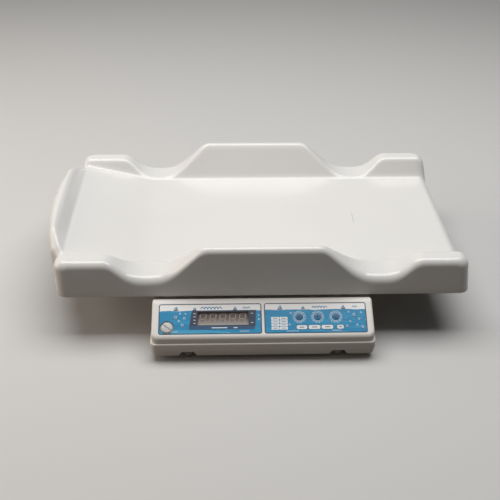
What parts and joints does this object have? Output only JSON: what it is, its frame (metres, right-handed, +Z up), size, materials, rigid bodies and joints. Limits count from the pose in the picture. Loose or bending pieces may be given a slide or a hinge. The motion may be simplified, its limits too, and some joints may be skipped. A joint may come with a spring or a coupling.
{
  "type": "baby weighing scale",
  "caption": "Digital baby weighing scale: a lift-off cradle tray on a load-cell platform over a housing with a sloping key and display console.",
  "frame": {"origin": "middle of the scale's footprint, on the table", "axes": "+X along the tray to its open foot end, -Y to the console and the user, +Z up"},
  "size_m": [0.5666, 0.381, 0.131],
  "materials": {
    "tray_gloss": "glossy moulded white",
    "cast_aluminium": "as cast, satin",
    "beam_aluminium": "milled",
    "pad_rubber": "matt moulded",
    "foot_rubber": "matt moulded grey",
    "zinc_steel": "zinc plated",
    "steel_plate": "rolled, zinc plated",
    "insert_brass": "turned",
    "case_plastic": "fine spark-eroded texture, warm white",
    "label_film": "printed polyester film, satin",
    "window_lens": "smoke tinted acrylic",
    "digit_plastic": "grey face, unlit segments",
    "lamp_resin": "tinted resin",
    "board_green": "solder mask",
    "black_plastic": "moulded black",
    "lead_jacket": "extruded jacket",
    "ribbon_jacket": "flat ribbon",
    "key_plastic": "dark blue, printed",
    "plunger_plastic": "moulded",
    "plug_plastic": "pale grey, slotted",
    "foot_plastic": "moulded grey, ribbed"
  },
  "bodies": {
    "tray": {"tray": "tray_gloss", "tray_sockets": "tray_gloss"},
    "platform": {"platform_spider": "cast_aluminium", "platform_pads": "pad_rubber", "platform_screws": "zinc_steel", "cell_top_spacer": "steel_plate"},
    "base": {"load_cell": "beam_aluminium", "cell_base_spacer": "steel_plate", "cell_base_screws": "zinc_steel", "overload_stop": "zinc_steel", "base_plate": "steel_plate", "foot_inserts": "insert_brass", "lower_case": "case_plastic", "upper_cover": "case_plastic", "overlay_left": "label_film", "overlay_right": "label_film", "display_window": "window_lens", "led_digits": "digit_plastic", "status_lamps": "lamp_resin", "panel_board": "board_green", "key_switches": "black_plastic", "main_board": "board_green", "board_parts": "black_plastic", "power_inlet": "black_plastic", "cell_lead": "lead_jacket", "panel_ribbon": "ribbon_jacket", "case_screws": "zinc_steel", "board_screws": "zinc_steel"},
    "plug": {"seal_plug": "plug_plastic"},
    "key_1": {"key_cap_1": "key_plastic", "key_plunger_1": "plunger_plastic"},
    "key_2": {"key_cap_2": "key_plastic", "key_plunger_2": "plunger_plastic"},
    "key_3": {"key_cap_3": "key_plastic", "key_plunger_3": "plunger_plastic"},
    "foot_screw_1_body": {"foot_screw_1": "foot_plastic"},
    "foot_pad_1_body": {"foot_pad_1": "foot_rubber"},
    "foot_screw_2_body": {"foot_screw_2": "foot_plastic"},
    "foot_pad_2_body": {"foot_pad_2": "foot_rubber"},
    "foot_screw_3_body": {"foot_screw_3": "foot_plastic"},
    "foot_pad_3_body": {"foot_pad_3": "foot_rubber"},
    "foot_screw_4_body": {"foot_screw_4": "foot_plastic"},
    "foot_pad_4_body": {"foot_pad_4": "foot_rubber"}
  },
  "joints": [
    {"name": "platform_sink", "type": "slide", "parent": "base", "child": "platform", "axis": [0, 0, -1], "range_m": [0, 0.0005], "stiffness_N_per_m": 400000, "springref_m": -0.0001, "deforming": ["load_cell"]},
    {"name": "tray_lift", "type": "slide", "parent": "platform", "child": "tray", "axis": [0, 0, 1], "range_m": [0, 0.08]},
    {"name": "plug_turn", "type": "hinge", "parent": "base", "child": "plug", "pos_m": [-0.11475, -0.17571, 0.0431], "axis": [0, -0.5, 0.866], "range_deg": [0, 90]},
    {"name": "key_1_press", "type": "slide", "parent": "base", "child": "key_1", "axis": [0, 0.5, -0.866], "range_m": [0, 0.0003], "stiffness_N_per_m": 5000, "springref_m": -0.00012},
    {"name": "key_2_press", "type": "slide", "parent": "base", "child": "key_2", "axis": [0, 0.5, -0.866], "range_m": [0, 0.0003], "stiffness_N_per_m": 5000, "springref_m": -0.00012},
    {"name": "key_3_press", "type": "slide", "parent": "base", "child": "key_3", "axis": [0, 0.5, -0.866], "range_m": [0, 0.0003], "stiffness_N_per_m": 5000, "springref_m": -0.00012},
    {"name": "foot_1_extend", "type": "slide", "parent": "base", "child": "foot_pad_1_body", "axis": [0, 0, -1], "range_m": [0, 0.005]},
    {"name": "foot_1_turn", "type": "hinge", "parent": "foot_pad_1_body", "child": "foot_screw_1_body", "pos_m": [-0.08875, -0.1765, 0.0024], "axis": [0, 0, -1], "range_deg": [0, 1440]},
    {"name": "foot_2_extend", "type": "slide", "parent": "base", "child": "foot_pad_2_body", "axis": [0, 0, -1], "range_m": [0, 0.005]},
    {"name": "foot_2_turn", "type": "hinge", "parent": "foot_pad_2_body", "child": "foot_screw_2_body", "pos_m": [0.10525, -0.1765, 0.0024], "axis": [0, 0, -1], "range_deg": [0, 1440]},
    {"name": "foot_3_extend", "type": "slide", "parent": "base", "child": "foot_pad_3_body", "axis": [0, 0, -1], "range_m": [0, 0.005]},
    {"name": "foot_3_turn", "type": "hinge", "parent": "foot_pad_3_body", "child": "foot_screw_3_body", "pos_m": [-0.08875, 0.113, 0.0024], "axis": [0, 0, -1], "range_deg": [0, 1440]},
    {"name": "foot_4_extend", "type": "slide", "parent": "base", "child": "foot_pad_4_body", "axis": [0, 0, -1], "range_m": [0, 0.005]},
    {"name": "foot_4_turn", "type": "hinge", "parent": "foot_pad_4_body", "child": "foot_screw_4_body", "pos_m": [0.10525, 0.113, 0.0024], "axis": [0, 0, -1], "range_deg": [0, 1440]}
  ],
  "couplings": [
    {"joint": "foot_1_turn", "follows": "foot_1_extend", "rad_per_m": 5026.5},
    {"joint": "foot_2_turn", "follows": "foot_2_extend", "rad_per_m": 5026.5},
    {"joint": "foot_3_turn", "follows": "foot_3_extend", "rad_per_m": 5026.5},
    {"joint": "foot_4_turn", "follows": "foot_4_extend", "rad_per_m": 5026.5}
  ]
}
